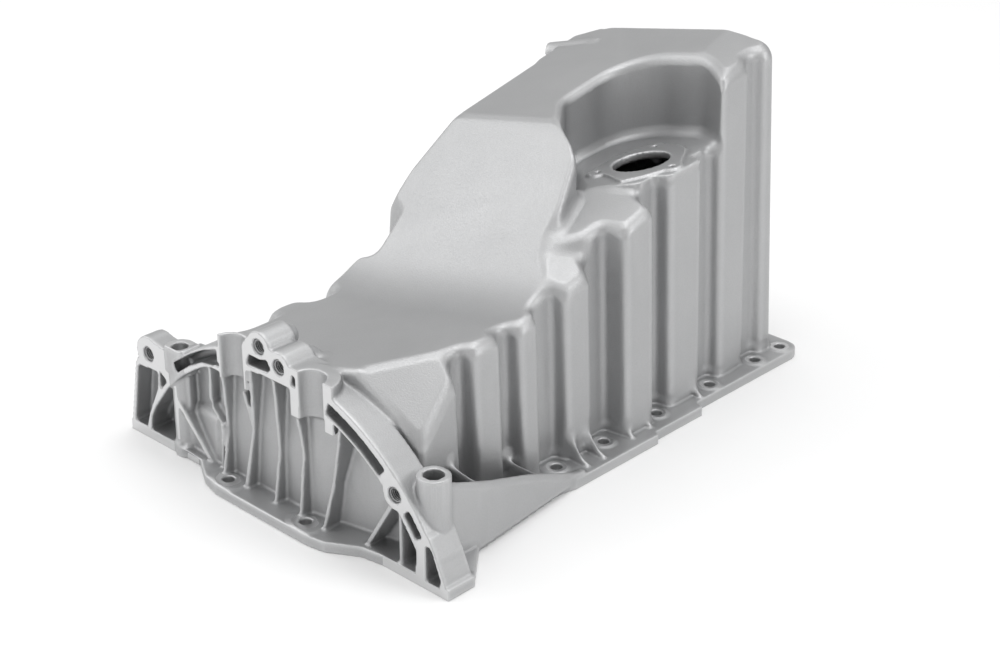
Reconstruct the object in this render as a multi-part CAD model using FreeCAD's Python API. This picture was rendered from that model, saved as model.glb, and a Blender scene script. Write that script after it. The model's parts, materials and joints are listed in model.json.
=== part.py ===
import FreeCAD, Part
import math
import os

V = FreeCAD.Vector

# Engine oil pan, die-cast in one piece and shown the way it stands on a bench: gasket face down, sump up.
# Millimetres. X runs across the engine, with the level sensor on the +X side, Y runs along it from the
# bell-housing face (y = 0) to the far end of the sump, and Z is the height above the gasket face (z = 0).

# Casting
wall_thickness = 4.0
side_draft = 2.5
left_draft = 6.0
front_draft = 5.5
groove_draft = 0.4
upright_radius = 5.0
rim_radius = 4.5

# Gasket flange
flange_thickness = 8.0
flange_back_y = 439.0
flange_end_x = 120.0
flange_middle_x = 127.0
flange_wide_x = 131.0
flange_end_y = 306.0
flange_middle_y = 250.0
flange_corner_radius = 11.0
bolt_row_x = 109.5
right_bolt_y = [78.0, 163.0, 213.5, 273.0, 336.0, 392.5, 424.5]
left_bolt_y = [72.0, 128.5, 190.0, 250.0, 308.0, 366.0, 424.5]
back_bolt_x = [-28.0, 34.0]
back_bolt_y = 430.0
front_bolt_spacing = 81.0
front_bolt_middle_x = -3.5
front_bolt_y = -7.5
bolt_hole_radius = 4.25
bolt_seat_radius = 8.6
bolt_seat_height = 1.2

# Tub walls, measured in plan at the top of the flange
tub_left_x = 116.0
tub_right_x = 109.0
tub_front_y = 4.0
tub_front_left_x = 73.0
tub_front_right_x = 30.0
tub_shoulder_y = 26.0
front_corner_x = 118.0
front_corner_y = 23.0
tub_back_y = 431.0
tub_back_right_x = 103.5
right_bend_y = 320.0
back_corner_right = 12.0
back_corner_left = 24.0
walls_top = 262.0
groove_floor_x = 97.0
groove_places = [(78.0, 9.0), (121.5, 9.5), (163.0, 14.0), (217.0, 14.0), (275.0, 13.0), (337.0, 14.0), (394.0, 12.0)]
bulging_piers = {4: 117.0, 5: 110.5}
groove_lead = 2.5
left_groove_places = [(190.0, 16.5), (128.5, 14.5), (72.0, 14.0)]
left_groove_depth = 17.0
bolt_pocket_half_width = 12.0
back_pocket_depth = 11.5
back_pocket_top = 34.0
back_pocket_slope = 1.5

# Upper surfaces. Each plane is its height at one point of the plan, that point, and its two slopes.
across_slope = 0.21
low_floor_height = 108.0
ramp_slope = 1.1
ramp_height = 216.4
ramp_height_y = 257.0
top_slope = 0.2
top_height = 224.5
top_height_y = 300.0
crease_radius = 70.0
corner_facet = (246.5, 93.0, 351.0, -0.06, 0.14)
upper_left_facet = (199.0, -81.0, 256.0, 1.866, 0.291)
front_right_facet = (127.0, 95.0, 78.0, -0.786, 0.643)
front_left_facet = (96.0, -54.0, 15.0, 0.413, 0.1445)

rim_clearance = 0.05

# Recess for the level sensor
shelf = (183.0, 60.0, 300.0, 0.218, 0.081)
shelf_valley = (178.0, 52.0, 253.0, 0.653, 0.484)
apron = (175.0, 112.0, 250.0, -0.035, 0.304)
ramp_side = (156.0, 68.0, 186.0, -0.477, 0.255)
recess_corner_radius = 40.0
sensor_x = 60.4
sensor_y = 306.0
sensor_bore_radius = 21.5
sensor_screw_circle = 66.6
sensor_screw_radius = 2.5
sensor_screw_angle = -8.0
sensor_pad_height = 2.0

# Bell-housing arch
arch_x = 3.5
arch_z = -54.0
arch_radius = 171.0
arch_inner_radius = 154.0
arch_left_inner_radius = 158.5
arch_depth = 24.0
window_depth = 14.0
thread_core_radius = 4.25
thread_depth = 20.0

web_thickness = 4.0
thread_places = [(-137.3, 70.8), (-12.5, 119.8), (7.4, 111.5), (116.7, 58.6)]
thread_boss_radii = [13.8, 11.5, 11.5, 11.0]
thread_boss_depths = [17.0, 24.0, 24.0, 24.0]
right_post_x = 137.0
right_post_y = 16.0
right_post_radius = 11.5
right_post_top = 76.0
right_post_bore_radius = 7.0
left_post_x = -107.0
left_post_y = 6.0
left_post_radius = 8.8
left_collar_radius = 11.5
left_collar_foot = 66.0
left_post_top = 86.0
left_post_bore_radius = 6.0

# Ribs. Front ribs: x at the foot, x and height of the knee, x and height of the top.
rib_thickness = 3.0
front_ribs = [(-52, -55, 41, -55, 84), (-28, -27, 51, -38, 94), (-27, -27, 51, -24, 98), (3, 0, 45, 0, 99)]
front_ribs += [(29, 25, 53, 18.5, 99), (52.3, 54.5, 41, 65, 86)]
gusset_thickness = 5.0
gusset_places = [(109, 125.5, 180, 28.5), (109, 126, 197, 29), (116, 122, 233, 19), (116, 121, 254, 20), (109, 118, 316, 27)]

# Notches over the front bolts: x, y, radius, wall, foot height, top height
notches = [(-42.0, -1.0, 11.5, 3.0, 82.0, 115.0), (39.0, -1.0, 12.0, 9.5, 80.0, 116.0)]

# Drain screw boss
drain_start = (-95.0, 382.0, 214.0)
drain_axis = (0.94, 0.24, 0.24)
drain_boss_radius = 8.5
drain_boss_length = 42.0
drain_core_radius = 5.2

far = 600.0


def plane_height(plane, x, y):
    height, x0, y0, slope_x, slope_y = plane
    return height + slope_x * (x - x0) + slope_y * (y - y0)


def lowered(plane, depth):
    """The plane moved down into the metal by a depth measured square to it."""
    height, x0, y0, slope_x, slope_y = plane
    return (height - depth * math.sqrt(1.0 + slope_x ** 2 + slope_y ** 2), x0, y0, slope_x, slope_y)


def inset_outline(points, distances):
    """Move every side of an anticlockwise outline inwards by its own distance."""
    lines = []
    for (ax, ay), (bx, by), distance in zip(points, points[1:] + points[:1], distances):
        length = math.hypot(bx - ax, by - ay)
        nx, ny = -(by - ay) / length, (bx - ax) / length
        lines.append((nx, ny, nx * ax + ny * ay + distance))
    moved = []
    for (n1x, n1y, d1), (n2x, n2y, d2) in zip(lines[-1:] + lines[:-1], lines):
        cross = n1x * n2y - n1y * n2x
        moved.append(((d1 * n2y - d2 * n1y) / cross, (n1x * d2 - n2x * d1) / cross))
    return moved


def rounded_wire(corners, radii):
    """Closed wire through the corners, each corner turned into a tangent arc of its own radius."""
    starts, ends, middles = [], [], []
    count = len(corners)
    for i, (corner, radius) in enumerate(zip(corners, radii)):
        back = (corners[i - 1] - corner).normalize()
        ahead = (corners[(i + 1) % count] - corner).normalize()
        half = back.getAngle(ahead) / 2.0
        bisector = (back + ahead).normalize() if radius else V(0, 0, 0)
        reach = radius / math.tan(half)
        starts.append(corner + back * reach)
        ends.append(corner + ahead * reach)
        middles.append(corner + bisector * (radius / math.sin(half) - radius))
    edges = []
    for i in range(count):
        if radii[i]:
            edges.append(Part.Arc(starts[i], middles[i], ends[i]).toShape())
        following = starts[(i + 1) % count]
        if ends[i].distanceToPoint(following) > 1e-6:
            edges.append(Part.LineSegment(ends[i], following).toShape())
    return Part.Wire(edges)


def plan_prism(points, z_low, z_high):
    """Upright block over a plan outline of (x, y) or (x, y, corner radius)."""
    corners = [V(p[0], p[1], z_low) for p in points]
    radii = [p[2] if len(p) > 2 else 0.0 for p in points]
    return Part.Face(rounded_wire(corners, radii)).extrude(V(0, 0, z_high - z_low))


def front_prism(points, y_front, y_back):
    """Block running along Y over an outline of (x, z) or (x, z, corner radius) seen from the front."""
    corners = [V(p[0], y_front, p[1]) for p in points]
    radii = [p[2] if len(p) > 2 else 0.0 for p in points]
    return Part.Face(rounded_wire(corners, radii)).extrude(V(0, y_back - y_front, 0))


def polygon_face(corners):
    return Part.Face(Part.makePolygon(corners + corners[:1]))


def bridged_solid(lower, upper):
    """Solid between two closed rings of the same number of corners, both anticlockwise from above."""
    faces = [polygon_face(lower[::-1]), polygon_face(upper)]
    for a, b, c, d in zip(lower, lower[1:] + lower[:1], upper[1:] + upper[:1], upper):
        faces.append(polygon_face([a, b, c, d]))
    return Part.Solid(Part.Shell(faces))


def drafted_prism(points, drafts, z_reference, z_low, z_high):
    """Block whose sides each lean inwards by their own draft; the outline holds at the reference height."""
    rings = []
    for z in (z_low, z_high):
        distances = [(z - z_reference) * math.tan(math.radians(draft)) for draft in drafts]
        rings.append([V(x, y, z) for x, y in inset_outline(points, distances)])
    return bridged_solid(rings[0], rings[1])


def space_above(plane):
    """Everything over a sloping plane."""
    plan = [(-far, -far), (far, -far), (far, far), (-far, far)]
    lower = [V(x, y, plane_height(plane, x, y)) for x, y in plan]
    return bridged_solid(lower, [V(x, y, 3.0 * far) for x, y in plan])


def rod(start, direction, radius, length):
    return Part.makeCylinder(radius, length, start, direction)


def right_face_x(y, pier):
    """Face of the right wall at a place along the pan; two of its piers stand out further."""
    slope = (tub_back_right_x - tub_right_x) / (tub_back_y - back_corner_right - right_bend_y)
    return bulging_piers.get(pier, tub_right_x + slope * max(y - right_bend_y, 0.0))


def tub_sides(grooved):
    """Plan of the walls, anticlockwise from the left shoulder: corner and the draft of the side after it."""
    sides = [(-tub_left_x, tub_shoulder_y, side_draft), (-tub_front_left_x, tub_shoulder_y, side_draft)]
    sides += [(-tub_front_left_x, tub_front_y, front_draft), (tub_front_right_x, tub_front_y, front_draft)]
    sides.append((front_corner_x, front_corner_y, side_draft))
    if grooved:
        for i, (y, half_width) in enumerate(groove_places):
            sides.append((right_face_x(y - half_width, i), y - half_width, groove_draft))
            sides.append((groove_floor_x, y - half_width + groove_lead, side_draft))
            sides.append((groove_floor_x, y + half_width - groove_lead, groove_draft))
            sides.append((right_face_x(y + half_width, i + 1), y + half_width, side_draft))
    else:
        sides += [(tub_right_x, groove_places[0][0] - groove_places[0][1], side_draft)]
        sides += [(tub_right_x, right_bend_y, side_draft)]
    sides += [(tub_back_right_x, tub_back_y - back_corner_right, side_draft), (90.0, tub_back_y, side_draft)]
    sides += [(-tub_left_x + back_corner_left, tub_back_y, left_draft)]
    sides += [(-tub_left_x, tub_back_y - back_corner_left, left_draft)]
    if grooved:
        for y, half_width in left_groove_places:
            sides.append((-tub_left_x, y + half_width, groove_draft))
            sides.append((-tub_left_x + left_groove_depth, y + half_width - groove_lead, left_draft))
            sides.append((-tub_left_x + left_groove_depth, y - half_width + groove_lead, groove_draft))
            sides.append((-tub_left_x, y - half_width, left_draft))
    return sides


def wall_block(depth, grooved):
    """Drafted walls of the tub, moved into the metal by a depth."""
    sides = tub_sides(grooved)
    points = [(x, y) for x, y, draft in sides]
    drafts = [draft for x, y, draft in sides]
    inner = inset_outline(points, [depth] * len(points))
    return drafted_prism(inner, drafts, flange_thickness, -1.0 if depth else 0.0, walls_top)


def upright_edges(block, left_out):
    """Upright edges of a block of walls, without those through some plan corners at the top of the flange."""
    found = []
    for edge in block.Edges:
        low, high = sorted((v.Point for v in edge.Vertexes), key=lambda point: point.z)
        if high.z - low.z > flange_thickness:
            place = low + (high - low) * ((flange_thickness - low.z) / (high.z - low.z))
            if all(math.hypot(place.x - x, place.y - y) > 0.5 for x, y, draft in left_out):
                found.append(edge)
    return found


def sharp_edges(solid, lowest):
    """Edges that reach above a height and where the surface turns by more than a few degrees."""
    found = []
    for edge in solid.Edges:
        middle = edge.valueAt((edge.FirstParameter + edge.LastParameter) / 2.0)
        normals = []
        for face in solid.ancestorsOfType(edge, Part.Face):
            normals.append(face.normalAt(*face.Surface.parameter(middle)))
        if max(v.Z for v in edge.Vertexes) > lowest and normals[0].getAngle(normals[-1]) > 0.2:
            found.append(edge)
    return found


def space_above_ramp(depth):
    """Everything over the low floor, the ramp and the sump top, as one profile drawn across the pan."""
    def offset(slope):
        return depth * math.sqrt(1.0 + slope ** 2 + across_slope ** 2)
    floor_z = low_floor_height - offset(0.0)
    ramp_z = ramp_height - offset(ramp_slope)
    top_z = top_height - offset(top_slope)
    crease_y = ramp_height_y + (floor_z - ramp_z) / ramp_slope
    crest_y = (top_z - ramp_z + ramp_slope * ramp_height_y - top_slope * top_height_y) / (ramp_slope - top_slope)
    crest_z = ramp_z + ramp_slope * (crest_y - ramp_height_y)
    end_z = crest_z + top_slope * (far - crest_y)
    profile = [(-far, floor_z), (crease_y, floor_z), (crest_y, crest_z), (far, end_z), (far, 2 * far), (-far, 2 * far)]
    across = V(1, 0, across_slope).normalize()
    corners = [V(0, y, z) - across * (V(0, y, z).dot(across) + far) for y, z in profile]
    radii = [0.0, crease_radius + depth, 0.0, 0.0, 0.0, 0.0]
    return Part.Face(rounded_wire(corners, radii)).extrude(across * 2.0 * far)


def grown(outline, distance):
    """A plan outline of (x, y) or (x, y, corner radius) moved outwards, its corners kept concentric."""
    moved = inset_outline([(p[0], p[1]) for p in outline], [-distance] * len(outline))
    result = []
    for i, (x, y) in enumerate(moved):
        ax, ay = moved[i - 1]
        bx, by = moved[(i + 1) % len(moved)]
        convex = (x - ax) * (by - y) - (y - ay) * (bx - x) > 0
        radius = outline[i][2] if len(outline[i]) > 2 else 0.0
        result.append((x, y, radius + distance if convex else max(radius - distance, 0.0)))
    return result


def recess_spaces(depth):
    """What the sensor recess takes away, as three plan regions that each stand on their own floor."""
    shelf_plan = [(52, 253), (95, 272), (140, 291), (140, 323), (68, 368, 25), (-1, 366.5, recess_corner_radius)]
    shelf_plan += [(-1, 290, 15), (26, 257, 10), (47, 246)]
    apron_plan = [(68, 186), (95, 218), (140, 218), (140, 291), (95, 272), (52, 253), (47, 246), (57, 239), (69, 208)]
    side_plan = [(66, 184), (104, 158), (140, 158), (140, 218), (95, 218)]
    spaces = []
    for plan, floors in ((shelf_plan, (shelf, shelf_valley)), (apron_plan, (apron,)), (side_plan, (ramp_side,))):
        column = plan_prism(grown(plan, depth), 60.0, far)
        for floor in floors:
            spaces.append(column.common(space_above(lowered(floor, depth))))
    return spaces


def bolt_pockets(depth):
    """Room for the bolt heads in the left wall, which leans over them, and in the back wall."""
    half = bolt_pocket_half_width
    pockets = []
    for y in left_bolt_y[3:6]:
        inner_x = -tub_left_x + left_groove_depth
        plan = [(-far, y - half), (inner_x, y - half, 6), (inner_x, y + half, 6), (-far, y + half)]
        pockets.append(plan_prism(grown(plan, depth), flange_thickness - depth, far / 2.0))
    roof = space_above((back_pocket_top, 0.0, tub_back_y - back_pocket_depth, 0.0, back_pocket_slope))
    for x in back_bolt_x:
        inner_y = tub_back_y - back_pocket_depth
        plan = [(x - half, inner_y, 6), (x + half, inner_y, 6), (x + half, far), (x - half, far)]
        pocket = plan_prism(grown(plan, depth), flange_thickness - depth, far / 2.0)
        pockets.append(pocket.cut(roof))
    return pockets


def upper_cuts(depth):
    """What lies over the upper surfaces of the tub; the two front facets act on its front half only."""
    front_half = plan_prism([(-far, -far), (far, -far), (far, 130), (-far, 130)], 0.0, far)
    cuts = [space_above_ramp(depth), space_above(lowered(corner_facet, depth))]
    cuts.append(space_above(lowered(upper_left_facet, depth)))
    for facet in (front_right_facet, front_left_facet):
        cuts.append(front_half.common(space_above(lowered(facet, depth))))
    return cuts


def tub(depth):
    """The tub as a solid lump, moved into the metal by a depth on every side."""
    block = wall_block(depth, True)
    if depth:
        body = block.cut(upper_cuts(depth))
    else:
        body = block.makeFillet(upright_radius, upright_edges(block, tub_sides(False)))
        plain = wall_block(-rim_clearance, False).cut(upper_cuts(depth)).Solids[0]
        rounded = plain.makeFillet(rim_radius, sharp_edges(plain, flange_thickness + 60.0))
        body = body.common(rounded.fuse(Part.makeBox(30.0, 165.0, 206.0, V(98.0, 165.0, -1.0))))
    return body.cut(recess_spaces(depth) + bolt_pockets(depth))


def arch_window(inner_radius, outer_radius, start, end):
    """Curved window between two radii of the arch, from one angle to another, sunk into its front face."""
    centre = V(arch_x, 0, arch_z)
    def on_arch(radius, angle):
        turn = math.radians(angle)
        return centre + V(radius * math.cos(turn), 0, radius * math.sin(turn))
    half = (start + end) / 2.0
    edges = [Part.Arc(on_arch(outer_radius, start), on_arch(outer_radius, half), on_arch(outer_radius, end)).toShape()]
    edges.append(Part.LineSegment(on_arch(outer_radius, end), on_arch(inner_radius, end)).toShape())
    edges.append(Part.Arc(on_arch(inner_radius, end), on_arch(inner_radius, half), on_arch(inner_radius, start)).toShape())
    edges.append(Part.LineSegment(on_arch(inner_radius, start), on_arch(outer_radius, start)).toShape())
    return Part.Face(Part.Wire(edges)).extrude(V(0, window_depth, 0))


def arch():
    """Bell-housing face: ring, feet, bosses and the closing web behind the pockets."""
    centre = V(arch_x, 0, arch_z)
    along = V(0, 1, 0)
    upper_half = Part.makeBox(400, 60, 200, V(-200, -5, 0))
    left_half = Part.makeBox(200, 60, 200, V(-250, -5, 0))
    ring = rod(centre, along, arch_radius, arch_depth).cut(rod(centre, along, arch_inner_radius, arch_depth))
    ring = ring.cut(rod(centre, along, arch_left_inner_radius, arch_depth).common(left_half))
    web = rod(centre + along * (arch_depth - web_thickness), along, arch_left_inner_radius + 2.0, web_thickness)
    pieces = [ring.common(upper_half), web.common(upper_half)]
    left_foot = [(-166, 0), (-154, 59), (-151, 64), (-124, 62), (-138, 34), (-145, 8), (-141, 0)]
    pieces.append(front_prism(left_foot, 0.0, arch_depth))
    saddle = [(-151, 66), (-137.3, 84.3), (-120, 81.5, 10), (-98, 87), (-93, 80), (-124, 60)]
    pieces.append(front_prism(saddle, 0.0, thread_boss_depths[0]))
    inner_band = [(-82, 79), (-71, 84, 10), (-61.8, 86, 6), (-52, 85.5), (-52, 89.6), (-65, 89.5, 6), (-82, 84.5)]
    pieces.append(front_prism(inner_band, 0.0, arch_depth))
    right_foot = [(134, 0), (165.8, 0), (155, 26), (148, 39), (135, 52), (128, 40), (136, 28)]
    pieces.append(front_prism(right_foot, 0.0, arch_depth))
    crown = [(-30.6, 103), (-30.6, 116, 3), (-24.8, 124, 6), (-12.5, 130, 8), (0, 122, 4), (12.3, 118, 4), (17, 114, 3)]
    crown += [(27.5, 116.5, 2), (27.5, 102)]
    crown.reverse()
    pieces.append(front_prism(crown, 0.0, arch_depth - 4.0))
    for (x, z), radius, length in zip(thread_places, thread_boss_radii, thread_boss_depths):
        pieces.append(rod(V(x, 0, z), along, radius, length))
    for x, z in thread_places[1:3]:
        pieces.append(rod(V(x, 0, z), along, 8.5, 34.0))
    windows = [front_prism(outline, -1.0, window_depth) for outline in (
        [(-160, 9, 2), (-146, 9, 2), (-142.5, 20, 3), (-129.5, 46, 3), (-127.5, 60, 2), (-151, 58, 4)],
        [(144.5, 6, 2), (156.5, 6, 2), (157.5, 12, 2), (150, 31, 2), (144.5, 34, 2)],
        [(-26.6, 102.4, 1.5), (-4.6, 103.8, 1.5), (-1, 107, 1.5), (-5, 112.5, 1.5), (-13, 110, 1.5), (-23, 110.7, 1.5)],
        [(19.3, 103, 0.8), (23.7, 102.3, 0.8), (23.7, 109.6, 0.8), (21, 110.6, 0.8)])]
    windows.append(front_prism([(-58, 102, 1.5), (-72, 96.7, 20), (-90, 87, 20), (-106, 74.5, 2), (-103, 70, 2),
                                (-91, 78.8, 20), (-78, 86, 12), (-65, 89.7, 8), (-58, 89.7, 1.5)], -1.0, window_depth))
    windows.append(arch_window(156.0, 165.0, 50.8, 71.5))
    windows.append(arch_window(158.0, 165.0, 33.5, 40.0))
    return pieces, windows


def bolt_places():
    """Plan places of all flange bolts."""
    places = [(bolt_row_x, y) for y in right_bolt_y] + [(-bolt_row_x, y) for y in left_bolt_y]
    places += [(x, back_bolt_y) for x in back_bolt_x]
    places += [(front_bolt_middle_x + side * front_bolt_spacing / 2.0, front_bolt_y) for side in (1, -1)]
    return places


def flange():
    """Gasket flange with its stepped right edge, mirrored on the left, and the lip under the arch."""
    right = [(106, 0), (165, 0), (165, arch_depth), (138, 56), (128, 146), (flange_wide_x, 160)]
    right += [(flange_wide_x, flange_middle_y), (flange_middle_x, flange_middle_y + 1.5)]
    right += [(flange_middle_x, flange_end_y), (flange_end_x, flange_end_y + 1.5)]
    right += [(flange_end_x, flange_back_y, flange_corner_radius)]
    left = [(-p[0],) + tuple(p[1:]) for p in reversed(right)]
    left[-1] = (-86, 0, 4)
    lip = [(-62.7, -14.2, 6), (-46, -18.5, 4), (48, -19, 4), (64, -16.4, 6), (86, -3.3, 8)]
    return plan_prism(lip + right + left, 0.0, flange_thickness)


def front_rib(places):
    """Slanting rib in front of the tub, through (x, front edge y, z) from its foot up."""
    blocks = []
    half = rib_thickness / 2.0
    for (x1, y1, z1), (x2, y2, z2) in zip(places, places[1:]):
        lower = [V(x1 - half, y1, z1), V(x1 + half, y1, z1), V(x1 + half, 17, z1), V(x1 - half, 17, z1)]
        upper = [V(x2 - half, y2, z2), V(x2 + half, y2, z2), V(x2 + half, 17, z2), V(x2 - half, 17, z2)]
        blocks.append(bridged_solid(lower, upper))
    return blocks


def upright_wall(places, thickness, z_low):
    """Wall standing along (x, y, top z) places, with a sloping top edge."""
    blocks = []
    for (x1, y1, z1), (x2, y2, z2) in zip(places, places[1:]):
        length = math.hypot(x2 - x1, y2 - y1)
        nx, ny = (y2 - y1) / length * thickness / 2.0, (x1 - x2) / length * thickness / 2.0
        plan = [(x1 - nx, y1 - ny, z1), (x1 + nx, y1 + ny, z1), (x2 + nx, y2 + ny, z2), (x2 - nx, y2 - ny, z2)]
        blocks.append(bridged_solid([V(x, y, z_low) for x, y, z in plan], [V(x, y, z) for x, y, z in plan]))
    return blocks


def front_details():
    """Ribs, posts and braces in the mouth of the arch and beside the tub."""
    foot = flange_thickness - 0.5
    blocks = []
    for foot_x, knee_x, knee_z, top_x, top_z in front_ribs:
        blocks += front_rib([(foot_x, -6, foot), (knee_x, 3, knee_z), (top_x, 0.5, top_z)])
    blocks += front_rib([(-61, 0.5, foot), (-57.5, 0, 43), (-75, 3, 55.5), (-74, 3, 81)])
    blocks += upright_wall([(-106, -1, 47), (-72.5, -2, 9)], rib_thickness, foot)
    blocks.append(front_prism([(84.5, foot), (88.5, foot), (112, 46), (109.5, 49)], 2.0, 21.0))
    blocks.append(front_prism([(117.5, foot), (120.5, foot), (120.5, 49), (117.5, 49)], 2.0, 21.0))
    blocks.append(rod(V(left_post_x, left_post_y, 0), V(0, 0, 1), left_post_radius, left_post_top))
    blocks.append(rod(V(left_post_x, left_post_y, left_collar_foot), V(0, 0, 1), left_collar_radius,
                      left_post_top - left_collar_foot))
    blocks.append(rod(V(right_post_x, right_post_y, 0), V(0, 0, 1), right_post_radius, right_post_top))
    for side in (1, -1):
        blocks += upright_wall([(side * 137.5, 20, 70), (side * 137.5, 59.5, 55), (side * 132.4, 109, 37.5),
                                (side * 126.5, 172, 10)][::side], gusset_thickness, 4.0)
        blocks += upright_wall([(side * 98, 59, 58), (side * 137.5, 59, 52)][::side], rib_thickness, foot)
        blocks += upright_wall([(side * 96, 125, 28), (side * 131, 125, 28)][::side], rib_thickness, foot)
    return blocks


def side_gussets():
    """Small triangles that brace the flange against the tub piers."""
    blocks = []
    for wall_x, tip_x, y, top_z in gusset_places:
        plan = [V(wall_x - 6.0, y - rib_thickness / 2.0, 7), V(tip_x, y - rib_thickness / 2.0, 7)]
        blocks.append(Part.Face(Part.makePolygon([plan[0], plan[1], plan[1] + V(0, 0, 1.5),
                      V(wall_x - 1.0, plan[0].y, top_z), V(wall_x - 6.0, plan[0].y, top_z), plan[0]])
                      ).extrude(V(0, rib_thickness, 0)))
    return blocks


def sensor_pad():
    """Raised seat for the level sensor, square to the shelf, and the holes through it."""
    normal = V(-shelf[3], -shelf[4], 1).normalize()
    centre = V(sensor_x, sensor_y, plane_height(shelf, sensor_x, sensor_y))
    across = V(1, 0, shelf[3]).normalize()
    along = normal.cross(across)
    base = centre - normal * 3.0
    height = 3.0 + sensor_pad_height
    screws = []
    for step in range(3):
        turn = math.radians(sensor_screw_angle + 120.0 * step)
        screws.append((across * math.cos(turn) + along * math.sin(turn)) * (sensor_screw_circle / 2.0))
    pad = [rod(base, normal, sensor_bore_radius + 6.0, height)]
    for screw in screws:
        pad.append(rod(base + screw, normal, 8.0, height))
    inner_bosses = [rod(centre - normal * 13.0 + screw, normal, 6.0, 12.0) for screw in screws]
    holes = [rod(base - normal * 20.0, normal, sensor_bore_radius, 40.0)]
    for screw in screws:
        holes.append(rod(centre - normal * 10.0 + screw, normal, sensor_screw_radius, 20.0))
    return pad, inner_bosses, holes


def drain_boss():
    """Boss of the drain screw, lying across the upper left edge of the sump, and its bore."""
    start = V(*drain_start)
    axis = V(*drain_axis).normalize()
    bore = rod(start - axis, axis, drain_core_radius, drain_boss_length + 2.0)
    return rod(start, axis, drain_boss_radius, drain_boss_length), bore


def oil_pan():
    ring_pieces, windows = arch()
    pad, inner_bosses, pad_holes = sensor_pad()
    drain, drain_bore = drain_boss()
    up = V(0, 0, 1)
    notch_walls = [rod(V(x, y, z), up, radius + wall, top - z) for x, y, radius, wall, z, top in notches]
    in_front = Part.makeBox(400, 60, 300, V(-200, -60, flange_thickness))
    seats = [rod(V(x, y, 1.0), up, bolt_seat_radius, flange_thickness - 1.0 + bolt_seat_height) for x, y in bolt_places()]
    body = tub(0.0).fuse([flange()] + ring_pieces + front_details() + side_gussets() + pad)
    body = body.fuse([wall.cut(in_front) for wall in notch_walls] + seats)
    body = body.cut(windows + [tub(wall_thickness)])
    body = body.fuse(inner_bosses + [drain])
    holes = pad_holes + [drain_bore]
    holes += [rod(V(x, y, z + 8.0), up, radius, 60.0) for x, y, radius, wall, z, top in notches]
    holes += [rod(V(x, -1, z), V(0, 1, 0), thread_core_radius, thread_depth) for x, z in thread_places]
    holes.append(rod(V(left_post_x, left_post_y, -1), up, left_post_bore_radius, left_post_top + 9.0))
    holes.append(rod(V(right_post_x, right_post_y, -1), up, right_post_bore_radius, right_post_top + 2.0))
    holes += [rod(V(x, y, -1), up, bolt_hole_radius, flange_thickness + 4.0) for x, y in bolt_places()]
    return body.cut(holes)


if __name__ == "__main__":
    os.makedirs("parts", exist_ok=True)
    oil_pan().exportStep("parts/oil_pan.step")
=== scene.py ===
import json
import math
import bmesh
import bpy
import numpy as np
from mathutils import Matrix, Vector


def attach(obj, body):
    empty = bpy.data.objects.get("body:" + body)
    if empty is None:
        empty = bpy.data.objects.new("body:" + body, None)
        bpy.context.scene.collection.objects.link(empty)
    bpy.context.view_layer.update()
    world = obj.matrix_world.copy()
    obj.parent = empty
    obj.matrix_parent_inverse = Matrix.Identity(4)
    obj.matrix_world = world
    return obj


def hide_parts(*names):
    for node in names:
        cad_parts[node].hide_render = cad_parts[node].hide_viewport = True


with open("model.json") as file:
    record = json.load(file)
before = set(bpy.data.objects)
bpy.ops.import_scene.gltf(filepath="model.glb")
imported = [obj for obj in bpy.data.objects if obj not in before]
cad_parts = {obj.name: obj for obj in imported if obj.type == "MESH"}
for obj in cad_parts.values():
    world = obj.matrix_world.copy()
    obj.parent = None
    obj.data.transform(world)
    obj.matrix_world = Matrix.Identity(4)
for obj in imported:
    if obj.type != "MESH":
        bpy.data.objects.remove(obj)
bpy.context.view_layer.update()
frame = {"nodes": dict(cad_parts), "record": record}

mm = 0.001
record = frame["record"]
mounts = {mount["name"]: mount for mount in record["mounts"]}
body = "root"
print("frame loaded")


# view and light

view = {
    "azimuth": 43.7,      # degrees, 0 looks along +Y
    "elevation": 26.3,
    "lens": 72.3,         # mm
    "sensorWidth": 36.0,
    "place": (0.9286, -0.7516, 0.7204),
    "farthest": 20.0,     # m
}


def makeCamera():
    azimuth = math.radians(view["azimuth"])
    elevation = math.radians(view["elevation"])
    back = Vector((math.sin(azimuth) * math.cos(elevation), -math.cos(azimuth) * math.cos(elevation),
                   math.sin(elevation)))
    right = Vector((math.cos(azimuth), math.sin(azimuth), 0.0))
    up = back.cross(right)
    data = bpy.data.cameras.new("photoCamera")
    data.lens = view["lens"]
    data.sensor_width = view["sensorWidth"]
    data.clip_end = view["farthest"]
    camera = bpy.data.objects.new("photoCamera", data)
    bpy.context.scene.collection.objects.link(camera)
    turn = Matrix((right, up, back)).transposed().to_4x4()
    camera.matrix_world = Matrix.Translation(view["place"]) @ turn
    bpy.context.scene.camera = camera
    print("camera placed")


studio = {
    "floorSize": 12.0,
    "floorColour": (0.92, 0.92, 0.92),
    "floorRoughness": 0.8,
    "worldLow": 0.45,         # strength at the horizon
    "worldHigh": 0.95,        # strength overhead
    "lamps": [  # name, place, target, size, watts
        ("leftLamp", (-1.7, -0.7, 1.25), (0.0, 0.2, 0.1), 1.7, 12.5),
        ("frontLamp", (-0.3, -2.1, 0.9), (0.0, 0.0, 0.05), 1.0, 3.5),
        ("topLamp", (0.2, 0.4, 2.4), (0.0, 0.25, 0.1), 1.6, 16.0),
        ("rightLamp", (2.0, 1.0, 1.2), (0.05, 0.3, 0.1), 0.8, 10.0),
    ],
}


def makeLamp(name, place, target, size, watts):
    data = bpy.data.lights.new(name, "AREA")
    data.energy = watts
    data.size = size
    lamp = bpy.data.objects.new(name, data)
    lamp.location = place
    lamp.rotation_euler = (Vector(target) - Vector(place)).to_track_quat("-Z", "Y").to_euler()
    bpy.context.scene.collection.objects.link(lamp)


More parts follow.
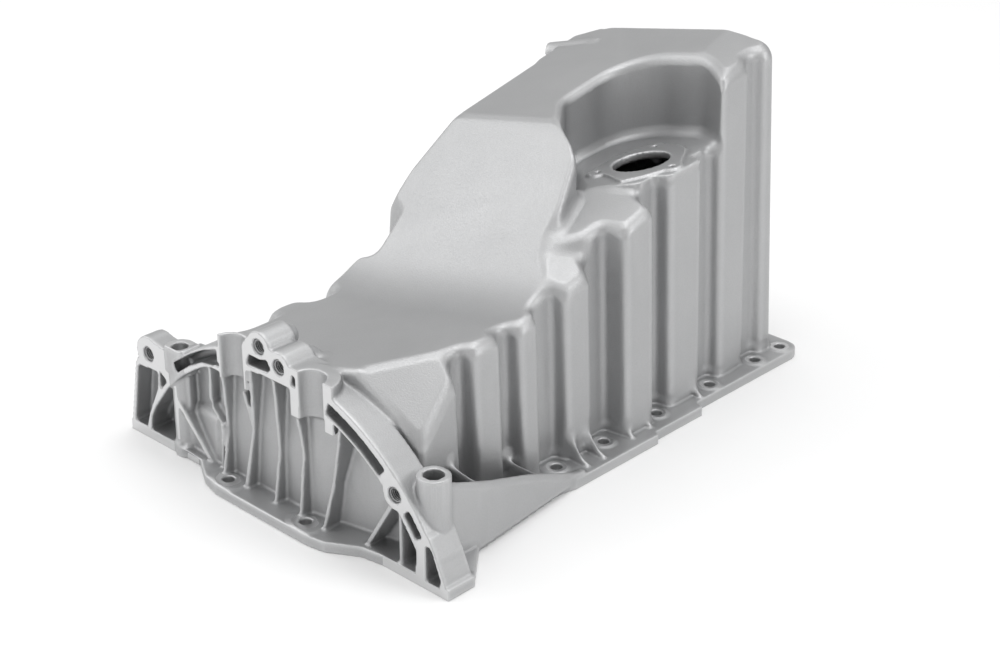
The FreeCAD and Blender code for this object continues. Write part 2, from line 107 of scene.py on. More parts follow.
def makeWorld():
    world = bpy.data.worlds.new("studioWorld")
    bpy.context.scene.world = world
    world.use_nodes = True
    nodes = world.node_tree.nodes
    links = world.node_tree.links
    place = nodes.new("ShaderNodeTexCoord")
    split = nodes.new("ShaderNodeSeparateXYZ")
    links.new(place.outputs["Generated"], split.inputs["Vector"])
    rise = nodes.new("ShaderNodeMapRange")
    rise.inputs["To Min"].default_value = studio["worldLow"]
    rise.inputs["To Max"].default_value = studio["worldHigh"]
    links.new(split.outputs["Z"], rise.inputs["Value"])
    links.new(rise.outputs["Result"], nodes["Background"].inputs["Strength"])
    nodes["Background"].inputs["Color"].default_value = (1.0, 1.0, 1.0, 1.0)


def makeFloor():
    half = studio["floorSize"] / 2.0
    corners = [(-half, -half, 0), (half, -half, 0), (half, half, 0), (-half, half, 0)]
    mesh = bpy.data.meshes.new("floor")
    mesh.from_pydata(corners, [], [(0, 1, 2, 3)])
    floor = bpy.data.objects.new("floor", mesh)
    bpy.context.scene.collection.objects.link(floor)
    paper = bpy.data.materials.new("palePaper")
    paper.use_nodes = True
    shader = paper.node_tree.nodes["Principled BSDF"]
    shader.inputs["Base Color"].default_value = (*studio["floorColour"], 1.0)
    shader.inputs["Roughness"].default_value = studio["floorRoughness"]
    mesh.materials.append(paper)


def makeStudio():
    makeWorld()
    bpy.context.scene.view_settings.view_transform = "Standard"
    for lamp in studio["lamps"]:
        makeLamp(*lamp)
    makeFloor()
    print("studio lit")


# cast aluminium, with its machined faces

castFinish = {
    "colour": (0.50, 0.503, 0.507),
    "darkColour": (0.44, 0.443, 0.448),
    "edgeRubbedAndHighlightColour": (0.60, 0.603, 0.607),      # rubbed edges, partly a painted highlight
    "cornerShadeColour": (0.36, 0.362, 0.366),    # painted shade in the inner corners
    "edgeSpan": (0.55, 1.0),                 # of the edgeTone attribute
    "cornerShadeSpan": (0.45, 0.0),
    "rubbedAndPaintedLight": 0.8,
    "cloudScale": 22.0,
    "cloudDetail": 5.0,
    "grainScale": 1000.0,
    "grainDetail": 3.0,
    "grainSpan": (0.3, 0.7),
    "grainBump": 0.3,
    "grainHeight": 0.0005,
    "roughness": (0.45, 0.58),
    "cutColour": (0.66, 0.662, 0.665),
    "cutRoughness": 0.34,
    "cutBand": 0.00025,                      # m either side of a machined plane
    "cutSquare": 0.985,                      # how squarely a machined face looks along its axis
    "toolMarks": (40.0, 40.0, 2600.0),
    "toolMarkDetail": 2.0,
    "toolMarkHeight": (0.4, 0.6),
}


def vectorNode(nodes, links, operation, first, second):
    node = nodes.new("ShaderNodeVectorMath")
    node.operation = operation
    links.new(first, node.inputs[0])
    links.new(second, node.inputs[1])
    return node


def valueNode(nodes, links, operation, first, second):
    node = nodes.new("ShaderNodeMath")
    node.operation = operation
    links.new(first, node.inputs[0])
    if isinstance(second, float):
        node.inputs[1].default_value = second
    elif second is not None:
        links.new(second, node.inputs[1])
    return node.outputs[0]


def cutFaceGroup():
    group = bpy.data.node_groups.new("cutFace", "ShaderNodeTree")
    face = group.interface
    face.new_socket(name="Point", in_out="INPUT", socket_type="NodeSocketVector")
    face.new_socket(name="Facing", in_out="INPUT", socket_type="NodeSocketVector")
    face.new_socket(name="Band", in_out="INPUT", socket_type="NodeSocketFloat")
    face.new_socket(name="Share", in_out="OUTPUT", socket_type="NodeSocketFloat")
    nodes = group.nodes
    links = group.links
    given = nodes.new("NodeGroupInput")
    result = nodes.new("NodeGroupOutput")
    place = nodes.new("ShaderNodeTexCoord").outputs["Object"]
    normal = nodes.new("ShaderNodeNewGeometry").outputs["Normal"]
    away = vectorNode(nodes, links, "SUBTRACT", place, given.outputs["Point"]).outputs["Vector"]
    height = vectorNode(nodes, links, "DOT_PRODUCT", away, given.outputs["Facing"]).outputs["Value"]
    distance = valueNode(nodes, links, "ABSOLUTE", height, None)
    near = valueNode(nodes, links, "LESS_THAN", distance, given.outputs["Band"])
    aim = vectorNode(nodes, links, "DOT_PRODUCT", normal, given.outputs["Facing"]).outputs["Value"]
    square = valueNode(nodes, links, "GREATER_THAN", aim, castFinish["cutSquare"])
    links.new(valueNode(nodes, links, "MULTIPLY", near, square), result.inputs["Share"])
    return group


def cutFaces():
    # a point and the outward direction of each machined plane
    up = Vector((0, 0, 1))
    drain, drainAxis = mountPoint("drain_thread")
    faces = [(Vector((0, 0, 0)), Vector((0, -1, 0))), (Vector((0, 0, 0)), -up)]
    faces += [(up * castFaces["boltSeatTop"], up), mountPoint("sensor_screws")]
    faces += [(up * top, up) for name, top, radius in castFaces["posts"]]
    faces.append((drain + drainAxis * castFaces["drainFace"], drainAxis))
    return faces


def cutShare(nodes, links):
    group = cutFaceGroup()
    share = None
    for point, facing in cutFaces():
        face = nodes.new("ShaderNodeGroup")
        face.node_tree = group
        face.inputs["Point"].default_value = point
        face.inputs["Facing"].default_value = facing
        face.inputs["Band"].default_value = castFinish["cutBand"]
        if share is None:
            share = face.outputs["Share"]
        else:
            share = valueNode(nodes, links, "MAXIMUM", share, face.outputs["Share"])
    return share


def mixColours(nodes, links, share, first, second):
    mix = nodes.new("ShaderNodeMix")
    mix.data_type = "RGBA"
    links.new(share, mix.inputs["Factor"])
    for value, name in ((first, "A"), (second, "B")):
        if isinstance(value, tuple):
            mix.inputs[name].default_value = (*value, 1.0)
        else:
            links.new(value, mix.inputs[name])
    return mix.outputs["Result"]


def mixValues(nodes, links, share, first, second):
    mix = nodes.new("ShaderNodeMix")
    links.new(share, mix.inputs["Factor"])
    links.new(first, mix.inputs["A"])
    if isinstance(second, float):
        mix.inputs["B"].default_value = second
    else:
        links.new(second, mix.inputs["B"])
    return mix.outputs["Result"]


def noiseShare(nodes, links, vector, scale, detail):
    noise = nodes.new("ShaderNodeTexNoise")
    noise.inputs["Scale"].default_value = scale
    noise.inputs["Detail"].default_value = detail
    links.new(vector, noise.inputs["Vector"])
    return noise.outputs["Fac"]


def mapped(nodes, links, value, span, low, high):
    change = nodes.new("ShaderNodeMapRange")
    change.inputs["From Min"].default_value = span[0]
    change.inputs["From Max"].default_value = span[1]
    change.inputs["To Min"].default_value = low
    change.inputs["To Max"].default_value = high
    links.new(value, change.inputs["Value"])
    return change.outputs["Result"]


def castColour(nodes, links, place, cut):
    cloud = noiseShare(nodes, links, place, castFinish["cloudScale"], castFinish["cloudDetail"])
    attribute = nodes.new("ShaderNodeAttribute")
    attribute.attribute_name = "edgeTone"
    tone = attribute.outputs["Fac"]
    colour = mixColours(nodes, links, cloud, castFinish["darkColour"], castFinish["colour"])
    # outer edges lighter: rubbed metal, partly a painted highlight
    rubbedAndHighlight = mapped(nodes, links, tone, castFinish["edgeSpan"], 0.0, castFinish["rubbedAndPaintedLight"])
    colour = mixColours(nodes, links, rubbedAndHighlight, colour, castFinish["edgeRubbedAndHighlightColour"])
    # inner corners darker: painted shade
    corner = mapped(nodes, links, tone, castFinish["cornerShadeSpan"], 0.0, castFinish["rubbedAndPaintedLight"])
    colour = mixColours(nodes, links, corner, colour, castFinish["cornerShadeColour"])
    return mixColours(nodes, links, cut, colour, castFinish["cutColour"])


def castRelief(nodes, links, place, cut, grain):
    stretch = nodes.new("ShaderNodeMapping")
    stretch.inputs["Scale"].default_value = castFinish["toolMarks"]
    links.new(place, stretch.inputs["Vector"])
    marks = noiseShare(nodes, links, stretch.outputs["Vector"], 1.0, castFinish["toolMarkDetail"])
    marks = mapped(nodes, links, marks, (0.0, 1.0), *castFinish["toolMarkHeight"])
    bump = nodes.new("ShaderNodeBump")
    bump.inputs["Strength"].default_value = castFinish["grainBump"]
    bump.inputs["Distance"].default_value = castFinish["grainHeight"]
    links.new(mixValues(nodes, links, cut, grain, marks), bump.inputs["Height"])
    return bump.outputs["Normal"]


def makeCastAluminium():
    material = bpy.data.materials.new("castAluminium")
    material.use_nodes = True
    nodes = material.node_tree.nodes
    links = material.node_tree.links
    shader = nodes["Principled BSDF"]
    shader.inputs["Metallic"].default_value = 1.0
    place = nodes.new("ShaderNodeTexCoord").outputs["Object"]
    cut = cutShare(nodes, links)
    grain = noiseShare(nodes, links, place, castFinish["grainScale"], castFinish["grainDetail"])
    satin = mapped(nodes, links, grain, castFinish["grainSpan"], *castFinish["roughness"])
    links.new(castColour(nodes, links, place, cut), shader.inputs["Base Color"])
    links.new(mixValues(nodes, links, cut, satin, castFinish["cutRoughness"]), shader.inputs["Roughness"])
    links.new(castRelief(nodes, links, place, cut, grain), shader.inputs["Normal"])
    print("cast aluminium mixed")
    return material


# shapes that the cast body is cut with or grows by, in millimetres

uprightSides = 72
roundSides = 64


def joinShapes(name, shapes):
    mesh = bpy.data.meshes.new(name)
    whole = bmesh.new()
    for shape in shapes:
        part = bpy.data.meshes.new("part")
        shape.to_mesh(part)
        whole.from_mesh(part)
        bpy.data.meshes.remove(part)
        shape.free()
    whole.to_mesh(mesh)
    whole.free()
    return mesh


def hullShape(points):
    shape = bmesh.new()
    for point in points:
        shape.verts.new(Vector(point) * mm)
    bmesh.ops.convex_hull(shape, input=shape.verts)
    bmesh.ops.recalc_face_normals(shape, faces=shape.faces)
    return shape


def boxShape(low, high):
    across, along, upward = zip(low, high)
    return hullShape([(x, y, z) for x in across for y in along for z in upward])


def prismShape(outline, depth):
    # an outline in x and z, drawn out along y
    shape = bmesh.new()
    rings = [[shape.verts.new(Vector((x, y, z)) * mm) for x, z in outline] for y in depth]
    shape.faces.new(rings[0])
    shape.faces.new(reversed(rings[1]))
    for step in range(len(outline)):
        ahead = (step + 1) % len(outline)
        shape.faces.new((rings[0][step], rings[1][step], rings[1][ahead], rings[0][ahead]))
    bmesh.ops.recalc_face_normals(shape, faces=shape.faces)
    return shape


def rodShape(start, axis, lowRadius, highRadius, length, sides=roundSides):
    # start is a point in metres
    shape = bmesh.new()
    turn = Vector((0.0, 0.0, 1.0)).rotation_difference(axis).to_matrix().to_4x4()
    place = Matrix.Translation(start + axis * (length * mm / 2.0)) @ turn
    bmesh.ops.create_cone(shape, cap_ends=True, segments=sides, radius1=lowRadius * mm,
                          radius2=highRadius * mm, depth=length * mm, matrix=place)
    return shape


def uprightShape(centre, lowRadius, highRadius, low, high):
    start = Vector((centre[0], centre[1], low)) * mm
    return rodShape(start, Vector((0.0, 0.0, 1.0)), lowRadius, highRadius, high - low, uprightSides)


def bakedModifiers(obj):
    graph = bpy.context.evaluated_depsgraph_get()
    mesh = bpy.data.meshes.new_from_object(obj.evaluated_get(graph))
    obj.modifiers.clear()
    obj.data = mesh
    return mesh


def cutAway(obj, shape):
    tool = bpy.data.objects.new("cutter", joinShapes("cutter", [shape]))
    bpy.context.scene.collection.objects.link(tool)
    cut = obj.modifiers.new("cut", "BOOLEAN")
    cut.object = tool
    cut.operation = "DIFFERENCE"
    bakedModifiers(obj)
    bpy.data.objects.remove(tool)


def withHole(shape, hole):
    lump = bpy.data.objects.new("lump", joinShapes("lump", [shape]))
    bpy.context.scene.collection.objects.link(lump)
    cutAway(lump, hole)
    result = bmesh.new()
    result.from_mesh(lump.data)
    bpy.data.objects.remove(lump)
    return result


def plateMesh(name, outline, holes, thickness):
    # a flat plate in metres, half its thickness above and below z 0
    data = bpy.data.curves.new(name, "CURVE")
    data.dimensions = "2D"
    data.fill_mode = "BOTH"
    data.extrude = thickness / 2.0
    rings = [outline]
    for (x, y), radius in holes:
        turns = [math.tau * step / roundSides for step in range(roundSides)]
        rings.append([(x + radius * math.cos(turn), y + radius * math.sin(turn)) for turn in turns])
    for ring in rings:
        spline = data.splines.new("POLY")
        spline.points.add(len(ring) - 1)
        for point, (x, y) in zip(spline.points, ring):
            point.co = (x, y, 0.0, 1.0)
        spline.use_cyclic_u = True
    flat = bpy.data.objects.new(name, data)
    bpy.context.scene.collection.objects.link(flat)
    mesh = bpy.data.meshes.new_from_object(flat.evaluated_get(bpy.context.evaluated_depsgraph_get()))
    bpy.data.objects.remove(flat)
    return mesh


def mountPoint(name):
    return Vector(mounts[name]["pos_m"]), Vector(mounts[name]["axis"])


# threads of the four housing holes and the drain

threadSizes = {
    # mount, outer radius, pitch, turns and the mount's depth from the mouth, in millimetres
    "holes": [("housing_thread_1", 5.0, 1.5, 10, 2.0), ("housing_thread_2", 5.0, 1.5, 10, 2.0),
              ("housing_thread_3", 5.0, 1.5, 10, 2.0), ("housing_thread_4", 5.0, 1.5, 10, 2.0),
              ("drain_thread", 6.0, 1.5, 12, 3.0)],
    "room": 0.6,              # the body's hole is wider, because its smoothing closes it a little
    "beyondMouth": 2.0,
    "beyondTurns": 2.0,
    "lead": 1.2,              # from the mouth to the first turn
    "ridge": 0.8,
    "stepsPerTurn": 28,
    "ridgeCorners": 4,
}


def threadCuts():
    cuts = []
    for name, radius, pitch, turns, inset in threadSizes["holes"]:
        point, axis = mountPoint(name)
        start = point + axis * (inset + threadSizes["beyondMouth"]) * mm
        room = radius + threadSizes["room"]
        deep = threadSizes["beyondMouth"] + pitch * turns + threadSizes["beyondTurns"]
        cuts.append(rodShape(start, -axis, room, room, deep))
    return cuts


def threadTree():
    tree = bpy.data.node_groups.new("threadTurns", "GeometryNodeTree")
    face = tree.interface
    face.new_socket(name="Geometry", in_out="INPUT", socket_type="NodeSocketGeometry")
    for name in ("Radius", "Pitch", "Turns", "Ridge"):
        face.new_socket(name=name, in_out="INPUT", socket_type="NodeSocketFloat")
    face.new_socket(name="Finish", in_out="INPUT", socket_type="NodeSocketMaterial")
    face.new_socket(name="Geometry", in_out="OUTPUT", socket_type="NodeSocketGeometry")
    nodes = tree.nodes
    links = tree.links
    given = nodes.new("NodeGroupInput")
    result = nodes.new("NodeGroupOutput")
    spiral = nodes.new("GeometryNodeCurveSpiral")
    spiral.inputs["Resolution"].default_value = threadSizes["stepsPerTurn"]
    links.new(given.outputs["Turns"], spiral.inputs["Rotations"])
    links.new(given.outputs["Radius"], spiral.inputs["Start Radius"])
    links.new(given.outputs["Radius"], spiral.inputs["End Radius"])
    rise = valueNode(nodes, links, "MULTIPLY", given.outputs["Pitch"], given.outputs["Turns"])
    links.new(rise, spiral.inputs["Height"])
    profile = nodes.new("GeometryNodeCurvePrimitiveCircle")
    profile.inputs["Resolution"].default_value = threadSizes["ridgeCorners"]
    links.new(given.outputs["Ridge"], profile.inputs["Radius"])
    sweep = nodes.new("GeometryNodeCurveToMesh")
    sweep.inputs["Fill Caps"].default_value = True
    links.new(spiral.outputs["Curve"], sweep.inputs["Curve"])
    links.new(profile.outputs["Curve"], sweep.inputs["Profile Curve"])
    inward = nodes.new("GeometryNodeInputNamedAttribute")
    inward.data_type = "FLOAT_VECTOR"
    inward.inputs["Name"].default_value = "inward"
    aim = nodes.new("FunctionNodeAlignRotationToVector")
    aim.axis = "Z"
    links.new(inward.outputs["Attribute"], aim.inputs["Vector"])
    spread = nodes.new("GeometryNodeInstanceOnPoints")
    links.new(given.outputs["Geometry"], spread.inputs["Points"])
    links.new(sweep.outputs["Mesh"], spread.inputs["Instance"])
    links.new(aim.outputs["Rotation"], spread.inputs["Rotation"])
    real = nodes.new("GeometryNodeRealizeInstances")
    links.new(spread.outputs["Instances"], real.inputs["Geometry"])
    finish = nodes.new("GeometryNodeSetMaterial")
    links.new(real.outputs["Geometry"], finish.inputs["Geometry"])
    links.new(given.outputs["Finish"], finish.inputs["Material"])
    links.new(finish.outputs["Geometry"], result.inputs["Geometry"])
    return tree


def makeThreads(tree, finish):
    for name, radius, pitch, turns, inset in threadSizes["holes"]:
        point, axis = mountPoint(name)
        mesh = bpy.data.meshes.new(name)
        mesh.from_pydata([point + axis * (inset - threadSizes["lead"]) * mm], [], [])
        inward = mesh.attributes.new("inward", "FLOAT_VECTOR", "POINT")
        inward.data[0].vector = -axis
        thread = bpy.data.objects.new(name + "_turns", mesh)
        bpy.context.scene.collection.objects.link(thread)
        growth = thread.modifiers.new("turns", "NODES")
        growth.node_group = tree
        values = {"Radius": radius * mm, "Pitch": pitch * mm, "Turns": float(turns),
                  "Ridge": threadSizes["ridge"] * mm, "Finish": finish}
        for socket in tree.interface.items_tree:
            if socket.name in values:
                growth[socket.identifier] = values[socket.name]
        bakedModifiers(thread)
        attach(thread, body)
    print("threads done")


# front of the cast body: the band of the arch, the column behind it and the notches

bandLower = [(-139.5, 19.2), (-133.8, 29.3), (-116.7, 51.1), (-97.4, 68.1), (-81.3, 78.8)]
bandUpper = [(-138.2, 30.0), (-128.7, 43.7), (-118.5, 55.1), (-103.9, 68.0), (-92.1, 77.5), (-76.3, 86.0)]

archChanges = {
    # millimetres; outlines in x and z, with their depth along y
    "cutBoxes": [((-106, -12, 8.3), (-71.5, 0.7, 44)), ((-121, -12, 8.3), (-93, -1.8, 92))],
    "underBand": ([(-141.2, 10.7), *bandLower, (-71.3, 84.2), (-71.3, 10.7)], (-12.0, 4.5)),
    "besideColumn": ([(-141.2, 10.7), *bandLower[:3], (-112.0, 55.0), (-112.0, 10.7)], (-12.0, 15.0)),
    "slotOverBand": ([*bandUpper[3:], (-62.0, 88.3), (-62.0, 100.4), (-73.2, 96.3), (-85.4, 89.6),
                      (-95.7, 83.0), (-106.3, 75.5)], (-12.0, 6.0)),
    "smallWindow": ([(-125.4, 61.9), (-117.9, 55.3), (-126.8, 45.1)], (-12.0, 6.0)),
    # centre, radius, bottom and top of each notch's floor
    "notches": [((-42.0, -1.0), 11.6, 78.0, 92.0), ((39.0, -1.0), 12.1, 76.0, 90.0)],
    "band": [(-141.2, 8.0), *bandLower, (-70.0, 84.8), (-62.0, 88.3), *bandUpper[::-1], (-145.1, 8.0)],
    "bandDepth": (0.0, 4.0),
    "column": ((-108.5, 9.2), 9.4, 9.0, 4.0, 66.0),           # centre, radii at foot and top, foot, top
    "columnBore": ((-107.5, 8.2), 4.8, 4.8, -5.0, 95.0),
    "brace": [(-109.5, 44.0), (-74.0, 6.5), (-70.5, 8.5), (-107.0, 47.5)],
    "braceDepth": (0.0, 14.0),
    "upperWall": [(-106, 13, 4), (-71, 13, 4), (-71, 22, 4), (-106, 22, 4), (-104, 14, 84), (-71, 14, 84),
                  (-71, 22, 84), (-104, 22, 84)],
    "lowerBulge": [(-104, 6, 4), (-71, 3.5, 4), (-71, 22, 4), (-104, 22, 4), (-104, 9, 36), (-71, 6, 40),
                   (-71, 22, 48), (-104, 22, 44), (-71, 13, 46), (-104, 13, 42)],
}


def archCuts():
    cuts = [boxShape(low, high) for low, high in archChanges["cutBoxes"]]
    for centre, radius, low, high in archChanges["notches"]:
        cuts.append(uprightShape(centre, radius, radius, low, high))
    for name in ("underBand", "besideColumn", "slotOverBand", "smallWindow"):
        cuts.append(prismShape(*archChanges[name]))
    return cuts


def archLumps():
    brace = [(x, y, z) for x, z in archChanges["brace"] for y in archChanges["braceDepth"]]
    lumps = [hullShape(archChanges["upperWall"]), hullShape(archChanges["lowerBulge"]), hullShape(brace)]
    lumps.append(uprightShape(*archChanges["column"]))
    lumps = [withHole(lump, uprightShape(*archChanges["columnBore"])) for lump in lumps]
    lumps.append(prismShape(archChanges["band"], archChanges["bandDepth"]))
    return lumps


# seats, drain boss and back pockets of the cast body

seatChanges = {
    # millimetres
    "drainBoss": (8.5, -14.0, 4.0),          # radius, and its two ends out from the thread's mouth
    "drainHole": (-20.0, 20.0),              # its two ends out from the mount
    "pocketRoof": [(415.5, 28.0), (419.4, 28.0), (425.4, 50.0), (428.6, 50.0)],     # y and z
    "pocketRoofHalfWidth": 13.0,
    "sensorPlate": [(74, 266.5), (55, 275), (33.6, 281), (29, 310), (36, 335), (43.5, 343), (64, 344),
                    (78, 336), (98, 304), (93, 294.5), (84, 278)],
    "sensorPlateThickness": 5.0,
    "sensorScrewRadius": 2.2,
    "sensorScrewAngle": -8.0,                # degrees
    "boltPlates": [(-44.0, -7.5), (37.0, -7.5)],
    "boltPlate": [(-15, 1), (-12, -6), (0, -10.8), (12, -9.5), (15, -3), (11, 6), (-11, 7)],
    "boltPlateHeights": (4.0, 8.9),
}


def drainLump():
    name, hole, pitch, turns, inset = threadSizes["holes"][-1]
    point, axis = mountPoint(name)
    radius, low, high = seatChanges["drainBoss"]
    lump = rodShape(point + axis * (inset + low) * mm, axis, radius, radius, high - low)
    low, high = seatChanges["drainHole"]
    return withHole(lump, rodShape(point + axis * low * mm, axis, hole, hole, high - low))


def pocketRoofs():
    middle, axis = mountPoint("back_bolts")
    half = mounts["back_bolts"]["dims"]["spacing_x_mm"] / 2.0
    reach = seatChanges["pocketRoofHalfWidth"]
    roofs = []
    for side in (-half, half):
        ends = [middle.x / mm + side - reach, middle.x / mm + side + reach]
        roofs.append(hullShape([(x, y, z) for x in ends for y, z in seatChanges["pocketRoof"]]))
    return roofs


def sensorPlate():
    centre, normal = mountPoint("sensor_screws")
    across = Vector((1.0, 0.0, -normal.x / normal.z)).normalized()
    along = normal.cross(across)
    outline = []
    for x, y in seatChanges["sensorPlate"]:
        flat = Vector((x * mm, y * mm, 0.0))
        flat.z = centre.z - ((flat.x - centre.x) * normal.x + (flat.y - centre.y) * normal.y) / normal.z
        outline.append(((flat - centre).dot(across), (flat - centre).dot(along)))
    dims = mounts["sensor_screws"]["dims"]
    holes = [((0.0, 0.0), mounts["sensor_bore"]["dims"]["r_mm"] * mm)]
    reach = dims["pcd_mm"] * mm / 2.0
    for step in range(dims["count"]):
        turn = math.radians(seatChanges["sensorScrewAngle"] + 360.0 * step / dims["count"])
        place = (reach * math.cos(turn), reach * math.sin(turn))
        holes.append((place, seatChanges["sensorScrewRadius"] * mm))
    thickness = seatChanges["sensorPlateThickness"] * mm
    mesh = plateMesh("sensorPlate", outline, holes, thickness)
    turn = Matrix((across, along, normal)).transposed().to_4x4()
    mesh.transform(Matrix.Translation(centre - normal * (thickness / 2.0)) @ turn)
    return mesh


def boltPlate(centre):
    outline = [((centre[0] + x) * mm, (centre[1] + y) * mm) for x, y in seatChanges["boltPlate"]]
    hole = ((centre[0] * mm, centre[1] * mm), mounts["front_bolts"]["dims"]["hole_r_mm"] * mm)
    low, high = seatChanges["boltPlateHeights"]
    mesh = plateMesh("boltPlate", outline, [hole], (high - low) * mm)
    mesh.transform(Matrix.Translation((0.0, 0.0, (high + low) * mm / 2.0)))
    return mesh


# skin of the cast body

castFaces = {
    # metres; the machined faces, which keep their edges when the rest is softened
    "boltSeatTop": 0.0092,
    "boltSeatRadius": 0.0090,
    "posts": [("left_post_bore", 0.086, 0.012), ("right_post_bore", 0.076, 0.012)],   # mount, top, radius
    "sensorPadRadius": 0.042,
    "drainFace": 0.007,       # from the thread's start out to the face of its boss
    "softLimits": [("sensor_screws", 0.046, 0.006), ("drain_thread", 0.030, 0.030)],  # mount, radius, height
}

castSkin = {
    "mergeDistance": 1e-6,
    "voxel": 0.001,           # m
    "triangles": 185000,
    "rimPasses": 150,         # smoothing along the rims of the sump
    "tubPasses": 14,          # on its walls
    "frontPasses": 6,         # between the ribs of the arch
    "padPasses": 3,           # round the sensor and the drain screw
    "machinedPasses": 2,      # beside machined faces
    "machinedBand": 0.0008,
    "passStrength": 0.5,
    "passBlend": 3,           # steps over which one number of passes fades into the next
    "rimReach": (4, 30),      # steps of blur before and after a rim is found
    "rimTurn": (0.008, 0.020),    # turn of the surface for one step, where a rim begins and is full
    "edgeBend": 0.00006,      # bend of one step that counts as a full outer edge or inner corner, for the rubbed edges, painted highlight and painted shade
    "edgeBlend": 3,
    "tubFront": 0.027,        # the tub proper starts behind this y
    "flangeTop": 0.011,
    "shadeWeight": 80,
}


def castWithChanges(pan):
    skin = bpy.data.objects.new("castBody", mergedCopy(pan))
    bpy.context.scene.collection.objects.link(skin)
    for cutter in archCuts() + threadCuts():
        cutAway(skin, cutter)
    added = [joinShapes("lumps", archLumps() + [drainLump()] + pocketRoofs()), sensorPlate()]
    added += [boltPlate(centre) for centre in seatChanges["boltPlates"]]
    whole = bmesh.new()
    whole.from_mesh(skin.data)
    for mesh in added:
        whole.from_mesh(mesh)
    whole.to_mesh(skin.data)
    whole.free()
    print("cast changes made")
    return skin


def mergedCopy(node):
    mesh = node.data.copy()
    shell = bmesh.new()
    shell.from_mesh(mesh)
    bmesh.ops.remove_doubles(shell, verts=shell.verts, dist=castSkin["mergeDistance"])
    shell.to_mesh(mesh)
    shell.free()
    return mesh


def pointArray(mesh):
    flat = np.empty(len(mesh.vertices) * 3)
    mesh.vertices.foreach_get("co", flat)
    return flat.reshape(-1, 3)


def normalArray(mesh):
    flat = np.empty(len(mesh.vertices) * 3)
    mesh.vertices.foreach_get("normal", flat)
    return flat.reshape(-1, 3)


def edgeArray(mesh):
    flat = np.empty(len(mesh.edges) * 2, dtype=np.int64)
    mesh.edges.foreach_get("vertices", flat)
    return flat.reshape(-1, 2)


def neighbourMean(values, edges, valence):
    total = np.empty_like(values)
    for axis in range(values.shape[1]):
        column = values[:, axis]
        total[:, axis] = np.bincount(edges[:, 0], weights=column[edges[:, 1]], minlength=len(values))
        total[:, axis] += np.bincount(edges[:, 1], weights=column[edges[:, 0]], minlength=len(values))
    return total / valence[:, None]


def blurred(values, edges, valence, steps):
    for step in range(steps):
        values = neighbourMean(values, edges, valence)
    return values


def boltPoints():
    points = []
    for mount in record["mounts"]:
        dims = mount["dims"]
        if mount["kind"] == "bolt_pattern" and "pcd_mm" not in dims:
            half = Vector((dims.get("spacing_x_mm", 0.0), dims.get("spacing_y_mm", 0.0), 0.0)) * (mm / 2.0)
            points += [Vector(mount["pos_m"]) - half, Vector(mount["pos_m"]) + half]
    return points


def machinedDiscs():
    # centre, outward direction and radius of each round machined face
    up = Vector((0, 0, 1))
    discs = []
    for point in boltPoints():
        discs.append((Vector((point.x, point.y, castFaces["boltSeatTop"])), up, castFaces["boltSeatRadius"]))
    for name, top, radius in castFaces["posts"]:
        point, axis = mountPoint(name)
        discs.append((Vector((point.x, point.y, top)), up, radius))
    discs.append((*mountPoint("sensor_screws"), castFaces["sensorPadRadius"]))
    return discs


def heightAndReach(points, centre, axis):
    away = points - np.array(centre)
    height = away @ np.array(axis)
    reach = np.linalg.norm(away - height[:, None] * np.array(axis), axis=1)
    return height, reach


def rimShare(mesh, edges, valence):
    # 1 along the rims, where the surface turns towards or away from the vertical
    before, after = castSkin["rimReach"]
    rise = blurred(normalArray(mesh)[:, 2:3].copy(), edges, valence, before)
    change = np.abs(rise[edges[:, 0], 0] - rise[edges[:, 1], 0])
    turn = np.bincount(edges[:, 0], weights=change, minlength=len(valence))
    turn += np.bincount(edges[:, 1], weights=change, minlength=len(valence))
    turn = blurred((turn / valence)[:, None], edges, valence, after)[:, 0]
    start, full = castSkin["rimTurn"]
    return np.clip((turn - start) / (full - start), 0.0, 1.0)


def edgeShare(mesh, points, edges, valence):
    # 1 on outer edges, 0 in inner corners and a half where the surface is flat
    bend = neighbourMean(points, edges, valence) - points
    share = -np.sum(bend * normalArray(mesh), axis=1, keepdims=True) / castSkin["edgeBend"]
    share = blurred(share, edges, valence, castSkin["edgeBlend"])
    return np.clip(0.5 + 0.5 * share[:, 0], 0.0, 1.0)


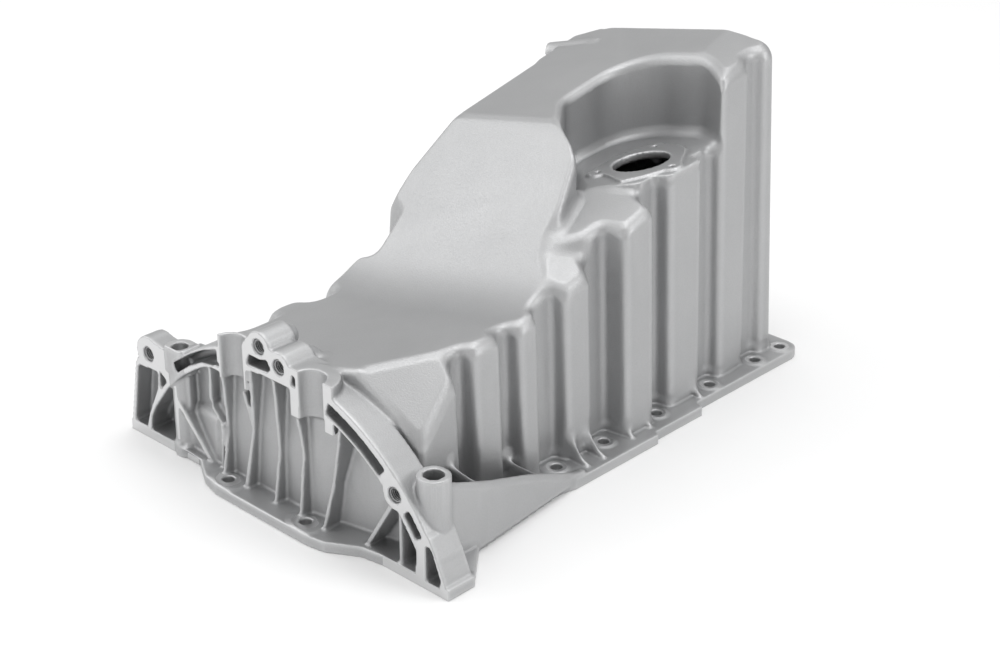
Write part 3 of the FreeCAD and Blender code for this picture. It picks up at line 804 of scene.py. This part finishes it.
def smoothingPasses(mesh, points, edges, valence):
    passes = np.full(len(points), float(castSkin["frontPasses"]))
    tub = (points[:, 1] > castSkin["tubFront"]) & (points[:, 2] > castSkin["flangeTop"])
    passes[tub] = castSkin["tubPasses"]
    passes += rimShare(mesh, edges, valence) * tub * (castSkin["rimPasses"] - castSkin["tubPasses"])
    for name, radius, limit in castFaces["softLimits"]:
        height, reach = heightAndReach(points, *mountPoint(name))
        passes[(reach < radius) & (np.abs(height) < limit)] = castSkin["padPasses"]
    band = castSkin["machinedBand"]
    machined = (np.abs(points[:, 1]) < band) | (np.abs(points[:, 2]) < band)
    for centre, axis, radius in machinedDiscs():
        height, reach = heightAndReach(points, centre, axis)
        machined |= (np.abs(height) < band) & (reach < radius)
    passes[machined] = castSkin["machinedPasses"]
    return blurred(passes[:, None], edges, valence, castSkin["passBlend"])[:, 0]


def softened(mesh):
    points = pointArray(mesh)
    edges = edgeArray(mesh)
    valence = np.bincount(edges.ravel(), minlength=len(points)).astype(float)
    passes = smoothingPasses(mesh, points, edges, valence)
    for turn in range(castSkin["rimPasses"]):
        weight = castSkin["passStrength"] * np.clip(passes - turn, 0.0, 1.0)
        points += weight[:, None] * (neighbourMean(points, edges, valence) - points)
    mesh.vertices.foreach_set("co", points.ravel())
    mesh.update()
    edgeTone = mesh.attributes.new("edgeTone", "FLOAT", "POINT")
    edgeTone.data.foreach_set("value", edgeShare(mesh, points, edges, valence))
    print("cast body smoothed")


def makeCastBody(pan, finish):
    skin = castWithChanges(pan)
    shrink = skin.modifiers.new("evenFaces", "REMESH")
    shrink.mode = "VOXEL"
    shrink.voxel_size = castSkin["voxel"]
    mesh = bakedModifiers(skin)
    print("cast body remeshed", len(mesh.vertices))
    softened(mesh)
    thin = skin.modifiers.new("fewerFaces", "DECIMATE")
    thin.ratio = castSkin["triangles"] / (2.0 * len(mesh.polygons))
    mesh = bakedModifiers(skin)
    mesh.polygons.foreach_set("use_smooth", np.ones(len(mesh.polygons), dtype=bool))
    even = skin.modifiers.new("evenShade", "WEIGHTED_NORMAL")
    even.weight = castSkin["shadeWeight"]
    mesh = bakedModifiers(skin)
    mesh.materials.clear()
    mesh.materials.append(finish)
    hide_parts("oil_pan")
    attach(skin, body)
    print("cast body done", len(mesh.polygons))


makeCamera()
makeStudio()
castAluminium = makeCastAluminium()
oilPan = frame["nodes"]["oil_pan"]
oilPan.data.materials.clear()
oilPan.data.materials.append(castAluminium)
makeCastBody(oilPan, castAluminium)
makeThreads(threadTree(), castAluminium)
print("oil pan finished")
